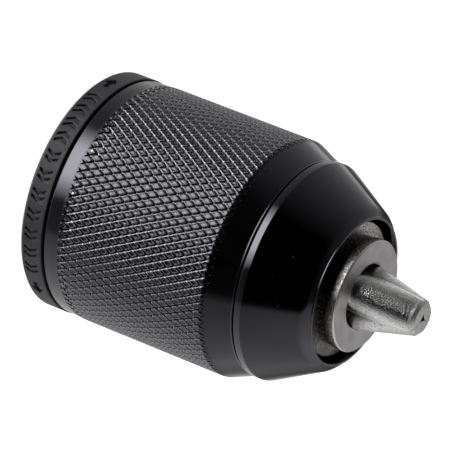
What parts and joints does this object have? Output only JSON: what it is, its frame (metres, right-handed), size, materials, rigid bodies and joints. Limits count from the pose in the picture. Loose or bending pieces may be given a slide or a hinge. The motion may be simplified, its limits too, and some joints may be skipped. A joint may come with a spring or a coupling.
{
  "type": "keyless drill chuck",
  "caption": "Keyless drill chuck with a knurled sleeve, a holding ring, a conical nose and slanted jaws that the sleeve opens and closes.",
  "frame": {"origin": "centre of the rear face, on the spindle axis, jaws closed", "axes": "+Z along the spindle axis towards the nose, -Y towards jaw 1"},
  "size_m": [0.038, 0.038, 0.06],
  "materials": {
    "nose_steel": "satin turned",
    "jaw_steel": "ground",
    "hard_steel": "hardened, oiled",
    "black_steel": "black, semi-gloss, diamond knurled",
    "gloss_black": "gloss black",
    "grained_plastic": "matt, fine grain",
    "driver_plastic": "matt",
    "cage_plastic": "matt"
  },
  "bodies": {
    "body": {"chuck_body": "nose_steel", "rear_ring": "grained_plastic", "ratchet_race": "hard_steel", "front_washer": "hard_steel", "snap_ring": "hard_steel"},
    "nut": {"nut_half_a": "hard_steel", "nut_half_b": "hard_steel", "nut_band": "hard_steel", "front_race": "hard_steel", "pawl_carrier": "hard_steel"},
    "balls": {"thrust_balls": "hard_steel", "ball_cage": "cage_plastic"},
    "jaw_1": {"jaw_1": "jaw_steel"},
    "jaw_2": {"jaw_2": "jaw_steel"},
    "jaw_3": {"jaw_3": "jaw_steel"},
    "sleeve": {"driver_sleeve": "driver_plastic", "outer_sleeve": "black_steel", "nose_cone": "gloss_black"},
    "pawl_a": {"pawl_a": "hard_steel"},
    "pawl_b": {"pawl_b": "hard_steel"}
  },
  "joints": [
    {"name": "nut_turn", "type": "hinge", "parent": "body", "child": "nut", "pos_m": [0, 0, 0.0295], "axis": [0, 0, 1], "range_deg": [0, 3090]},
    {"name": "ball_orbit", "type": "hinge", "parent": "body", "child": "balls", "pos_m": [0, 0, 0.0242], "axis": [0, 0, 1], "range_deg": [0, 1545]},
    {"name": "jaw_1_slide", "type": "slide", "parent": "body", "child": "jaw_1", "axis": [0, -0.2588, -0.9659], "range_m": [0, 0.0178]},
    {"name": "jaw_2_slide", "type": "slide", "parent": "body", "child": "jaw_2", "axis": [0.2241, 0.1294, -0.9659], "range_m": [0, 0.0178]},
    {"name": "jaw_3_slide", "type": "slide", "parent": "body", "child": "jaw_3", "axis": [-0.2241, 0.1294, -0.9659], "range_m": [0, 0.0178]},
    {"name": "sleeve_lock", "type": "hinge", "parent": "nut", "child": "sleeve", "pos_m": [0, 0, 0.0295], "axis": [0, 0, -1], "range_deg": [0, 20]},
    {"name": "pawl_a_swing", "type": "hinge", "parent": "nut", "child": "pawl_a", "pos_m": [0.01615, 0, 0.0225], "axis": [0, 0, 1], "range_deg": [0, 3.7]},
    {"name": "pawl_b_swing", "type": "hinge", "parent": "nut", "child": "pawl_b", "pos_m": [-0.01615, 0, 0.0225], "axis": [0, 0, 1], "range_deg": [0, 3.7]}
  ],
  "couplings": [
    {"joint": "ball_orbit", "follows": "nut_turn", "ratio": 0.5},
    {"joint": "jaw_1_slide", "follows": "nut_turn", "m_per_rad": 0.00032954},
    {"joint": "jaw_2_slide", "follows": "nut_turn", "m_per_rad": 0.00032954},
    {"joint": "jaw_3_slide", "follows": "nut_turn", "m_per_rad": 0.00032954},
    {"joint": "pawl_a_swing", "follows": "sleeve_lock", "ratio": 0.185},
    {"joint": "pawl_b_swing", "follows": "sleeve_lock", "ratio": 0.185}
  ]
}
